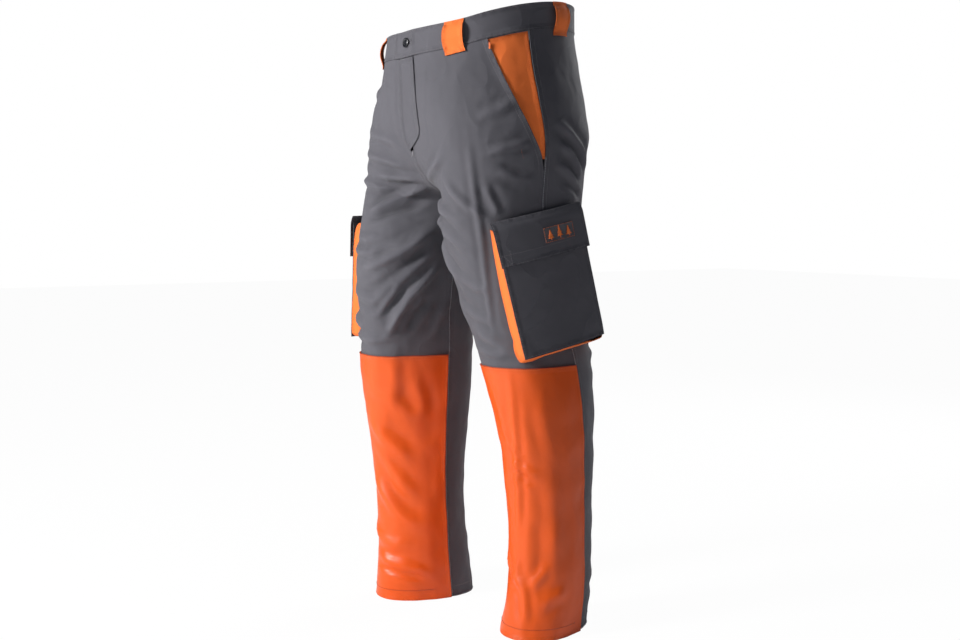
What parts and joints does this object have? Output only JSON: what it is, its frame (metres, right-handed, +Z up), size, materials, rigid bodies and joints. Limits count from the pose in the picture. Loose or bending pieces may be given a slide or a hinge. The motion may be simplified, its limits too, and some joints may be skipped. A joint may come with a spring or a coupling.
{
  "type": "chainsaw work trousers",
  "caption": "Chainsaw protective work trousers in their worn shape, with coated shin panels, bellows cargo pockets with hinged flaps, belt loops and a zip fly.",
  "frame": {"origin": "on the floor at the middle of the footprint box of the two hems, where the trousers stand in their worn shape", "axes": "+Z up along the legs; the wearer faces -Y; +X is the wearer's left"},
  "size_m": [0.472, 0.3574, 1.1062],
  "materials": {
    "grey_twill": "matt cotton and polyester twill",
    "orange_twill": "matt orange twill",
    "orange_coated": "semi-gloss coated cloth with fine grain",
    "insert_fibre": "felted protective fibre",
    "dark_lining": "matt woven lining",
    "tape": "matt woven nylon tape",
    "embroidery": "satin thread",
    "zip_metal": "dark nickel",
    "button_plastic": "glossy black"
  },
  "bodies": {
    "trousers": {"left_front_panel": "grey_twill", "left_back_panel": "grey_twill", "left_shin_panel": "orange_coated", "left_protective_insert": "insert_fibre", "left_lining": "dark_lining", "left_pocket_facing": "orange_twill", "left_pocket_bag": "dark_lining", "left_cargo_face": "grey_twill", "left_cargo_gusset": "orange_twill", "left_loop_tape": "tape", "left_front_belt_loop": "orange_twill", "left_back_belt_loop": "orange_twill", "left_zip_tape": "tape", "left_zip_teeth": "zip_metal", "right_front_panel": "grey_twill", "right_back_panel": "grey_twill", "right_shin_panel": "orange_coated", "right_protective_insert": "insert_fibre", "right_lining": "dark_lining", "right_pocket_facing": "orange_twill", "right_pocket_bag": "dark_lining", "right_cargo_face": "grey_twill", "right_cargo_gusset": "orange_twill", "right_loop_tape": "tape", "right_front_belt_loop": "orange_twill", "right_back_belt_loop": "orange_twill", "right_zip_tape": "tape", "right_zip_teeth": "zip_metal", "centre_back_belt_loop": "orange_twill", "waistband": "grey_twill", "waistband_facing": "dark_lining", "waistband_interlining": "insert_fibre", "waist_button": "button_plastic", "fly_shield": "grey_twill", "zip_bottom_stop": "zip_metal", "right_rear_pocket": "grey_twill"},
    "left_flap": {"left_cargo_flap": "grey_twill", "left_hook_tape": "tape", "left_flap_badge": "embroidery"},
    "right_flap": {"right_cargo_flap": "grey_twill", "right_hook_tape": "tape"},
    "fly_flap": {"fly_flap": "grey_twill"},
    "zip_slider": {"zip_slider": "zip_metal"},
    "zip_pull": {"zip_pull": "zip_metal"}
  },
  "joints": [
    {"name": "left_flap_hinge", "type": "hinge", "parent": "trousers", "child": "left_flap", "pos_m": [0.21267, -0.01075, 0.74366], "axis": [-0.0682, -0.9758, -0.2079], "range_deg": [0, 140]},
    {"name": "right_flap_hinge", "type": "hinge", "parent": "trousers", "child": "right_flap", "pos_m": [-0.21551, -0.06816, 0.74144], "axis": [-0.0697, 0.997, 0.0349], "range_deg": [0, 140]},
    {"name": "fly_flap_hinge", "type": "hinge", "parent": "trousers", "child": "fly_flap", "pos_m": [0.0482, -0.1531, 0.94], "axis": [0, -0.0804, 0.9968], "range_deg": [0, 80]},
    {"name": "zip_slide", "type": "slide", "parent": "trousers", "child": "zip_slider", "axis": [0, 0.0804, -0.9968], "range_m": [0, 0.118]},
    {"name": "zip_pull_hinge", "type": "hinge", "parent": "zip_slider", "child": "zip_pull", "pos_m": [0, -0.14886, 1.00428], "axis": [-1, 0, 0], "range_deg": [0, 4]}
  ]
}
